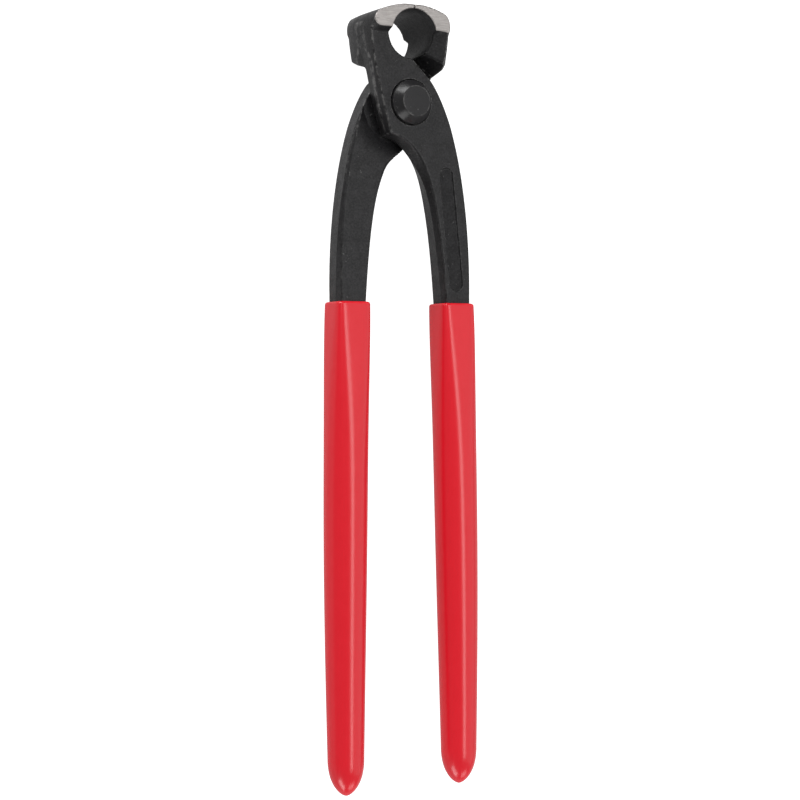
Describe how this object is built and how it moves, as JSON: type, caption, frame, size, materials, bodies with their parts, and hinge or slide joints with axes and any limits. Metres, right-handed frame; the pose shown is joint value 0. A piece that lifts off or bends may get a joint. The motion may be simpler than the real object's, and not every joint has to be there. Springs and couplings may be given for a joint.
{
  "type": "end-cutting nippers",
  "caption": "Long end-cutting nippers with crossed forged levers on a rivet, hollowed jaws that meet edge to edge and straight dip-coated handles, for twisting and cutting tie wire.",
  "frame": {"origin": "on the rivet's axis, at the flat of the rear rivet head, where the tool meets the surface it lies on", "axes": "+Y along the tool towards the jaws, +Z along the rivet out of the front face, +X to the right as seen from the front"},
  "size_m": [0.0616, 0.2802, 0.0263],
  "materials": {
    "forged_steel": "black oxide on forged steel, cutting edges ground bright",
    "rivet_steel": "black oxide on turned steel",
    "red_coating": "glossy dip-coated soft vinyl"
  },
  "bodies": {
    "front_half": {"front_lever": "forged_steel", "pivot_rivet": "rivet_steel", "right_grip": "red_coating"},
    "rear_half": {"rear_lever": "forged_steel", "left_grip": "red_coating"}
  },
  "joints": [
    {"name": "rivet_hinge", "type": "hinge", "parent": "front_half", "child": "rear_half", "pos_m": [0, 0, 0], "axis": [0, 0, -1], "range_deg": [0, 40]}
  ]
}
